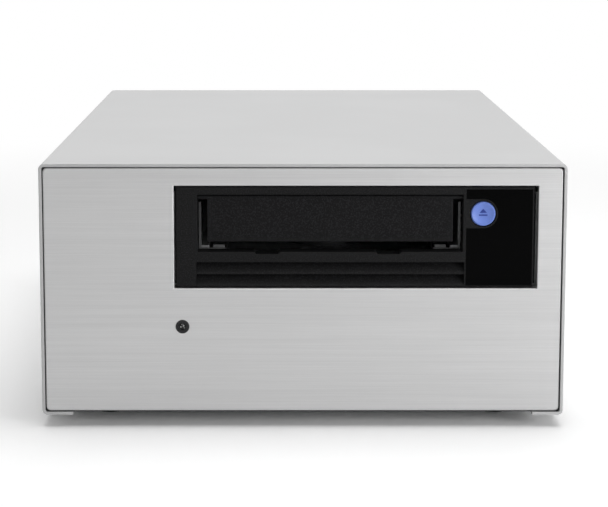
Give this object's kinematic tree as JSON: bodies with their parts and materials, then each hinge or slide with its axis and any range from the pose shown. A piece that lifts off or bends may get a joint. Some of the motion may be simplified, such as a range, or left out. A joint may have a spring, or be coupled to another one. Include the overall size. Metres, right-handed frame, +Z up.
{
  "type": "data tape drive",
  "caption": "Desktop data tape drive: a half-height drive with a flap-door cartridge slot and eject button in a low metal enclosure with fan, inlet and interface ports.",
  "frame": {"origin": "on the table under the middle of the sleeve", "axes": "+X to the right of a person facing the front panel, +Y from the front panel to the rear, +Z up"},
  "size_m": [0.216, 0.33, 0.11],
  "materials": {
    "cable_jacket": "matt PVC",
    "zinc_steel": "zinc-plated sheet",
    "door_plastic": "fine textured charcoal",
    "tray_steel": "plated sheet",
    "steel_screw": "zinc-plated",
    "sleeve_paint": "satin grey powder coat",
    "cast_aluminium": "as cast",
    "bezel_plastic": "fine textured charcoal",
    "black_plastic": "semi-gloss",
    "lid_steel": "plated sheet",
    "button_plastic": "satin blue",
    "guard_wire": "bright nickel",
    "fan_plastic": "moulded",
    "brushed_aluminium": "horizontally brushed, clear anodised",
    "ceramic": "lapped",
    "brass_pin": "nickel-plated",
    "lamp_plastic": "clear epoxy",
    "white_nylon": "moulded",
    "motor_steel": "turned",
    "circuit_board": "solder mask",
    "capacitor_sleeve": "shrink sleeve",
    "heatsink_aluminium": "extruded",
    "ferrite": "with yellow tape",
    "black_rubber": "matt",
    "port_shell": "nickel-plated",
    "window_plastic": "polished",
    "reel_plastic": "moulded"
  },
  "bodies": {
    "enclosure": {"ac_leads": "cable_jacket", "base_tray": "zinc_steel", "cover_screws": "steel_screw", "cover_sleeve": "sleeve_paint", "dc_harness": "cable_jacket", "drive_base": "cast_aluminium", "drive_bezel": "bezel_plastic", "drive_bracket_left": "zinc_steel", "drive_bracket_right": "zinc_steel", "drive_connectors": "black_plastic", "drive_screws": "steel_screw", "drive_top_cover": "lid_steel", "eject_switch": "black_plastic", "fan_guard": "guard_wire", "fan_housing": "fan_plastic", "fan_lead": "cable_jacket", "foot_screws": "steel_screw", "front_bulkhead": "zinc_steel", "front_panel": "brushed_aluminium", "head_actuator": "cast_aluminium", "inlet_pins": "brass_pin", "led_holder": "black_plastic", "led_lamp": "lamp_plastic", "led_lead": "cable_jacket", "loader_motor": "motor_steel", "main_board": "circuit_board", "operator_board": "circuit_board", "panel_screws": "steel_screw", "port_board": "circuit_board", "power_inlet": "black_plastic", "psu_board": "circuit_board", "psu_capacitors": "capacitor_sleeve", "psu_connectors": "white_nylon", "psu_heatsinks": "heatsink_aluminium", "psu_standoffs": "white_nylon", "psu_transformer": "ferrite", "rear_panel": "sleeve_paint", "rear_screws": "steel_screw", "roller_pins": "motor_steel", "rubber_feet": "black_rubber", "sas_cable": "cable_jacket", "sas_ports": "port_shell", "status_window": "window_plastic", "supply_motor": "motor_steel", "switch_body": "black_plastic", "takeup_motor": "motor_steel"},
    "door": {"cartridge_door": "door_plastic"},
    "button": {"eject_button": "button_plastic"},
    "rocker": {"switch_rocker": "black_plastic"},
    "impeller": {"fan_impeller": "fan_plastic"},
    "loader_tray": {"cartridge_tray": "tray_steel"},
    "loader_gear": {"loader_gear": "white_nylon"},
    "clutch": {"supply_clutch": "white_nylon"},
    "reel": {"takeup_reel": "reel_plastic"},
    "head": {"tape_head": "ceramic"},
    "roller_1": {"guide_roller_1": "ceramic"},
    "roller_2": {"guide_roller_2": "ceramic"},
    "roller_3": {"guide_roller_3": "ceramic"},
    "roller_4": {"guide_roller_4": "ceramic"}
  },
  "joints": [
    {"name": "door_hinge", "type": "hinge", "parent": "enclosure", "child": "door", "pos_m": [0.0113, -0.1615, 0.09595], "axis": [1, 0, 0], "range_deg": [0, 90], "stiffness_Nm_per_rad": 0.004, "springref_deg": -20.05},
    {"name": "eject_press", "type": "slide", "parent": "enclosure", "child": "button", "axis": [0, 1, 0], "range_m": [0, 0.001], "stiffness_N_per_m": 900, "springref_m": -0.0004},
    {"name": "switch_rock", "type": "hinge", "parent": "enclosure", "child": "rocker", "pos_m": [0.032, 0.1582, 0.026], "axis": [1, 0, 0], "range_deg": [0, 22]},
    {"name": "fan_spin", "type": "hinge", "parent": "enclosure", "child": "impeller", "pos_m": [0.02135, 0.146, 0.074], "axis": [0, 1, 0], "continuous": true},
    {"name": "tray_slide", "type": "slide", "parent": "enclosure", "child": "loader_tray", "axis": [0, 1, 0], "range_m": [0, 0.018]},
    {"name": "loader_gear_spin", "type": "hinge", "parent": "enclosure", "child": "loader_gear", "pos_m": [0.0756, -0.118, 0.08], "axis": [0, 0, 1], "range_deg": [-150, 5]},
    {"name": "clutch_spin", "type": "hinge", "parent": "enclosure", "child": "clutch", "pos_m": [0.0113, -0.088, 0.08], "axis": [0, 0, 1], "continuous": true},
    {"name": "reel_spin", "type": "hinge", "parent": "enclosure", "child": "reel", "pos_m": [0.012, 0.008, 0.08], "axis": [0, 0, 1], "continuous": true},
    {"name": "head_step", "type": "slide", "parent": "enclosure", "child": "head", "axis": [0, 0, 1], "range_m": [-0.001, 0.001]},
    {"name": "roller_1_spin", "type": "hinge", "parent": "enclosure", "child": "roller_1", "pos_m": [0.0775, -0.048, 0.08], "axis": [0, 0, 1], "continuous": true},
    {"name": "roller_2_spin", "type": "hinge", "parent": "enclosure", "child": "roller_2", "pos_m": [0.0825, -0.035, 0.08], "axis": [0, 0, 1], "continuous": true},
    {"name": "roller_3_spin", "type": "hinge", "parent": "enclosure", "child": "roller_3", "pos_m": [0.0825, -0.009, 0.08], "axis": [0, 0, 1], "continuous": true},
    {"name": "roller_4_spin", "type": "hinge", "parent": "enclosure", "child": "roller_4", "pos_m": [0.0775, 0.004, 0.08], "axis": [0, 0, 1], "continuous": true}
  ],
  "couplings": [
    {"joint": "loader_gear_spin", "follows": "tray_slide", "rad_per_m": -138.89}
  ]
}
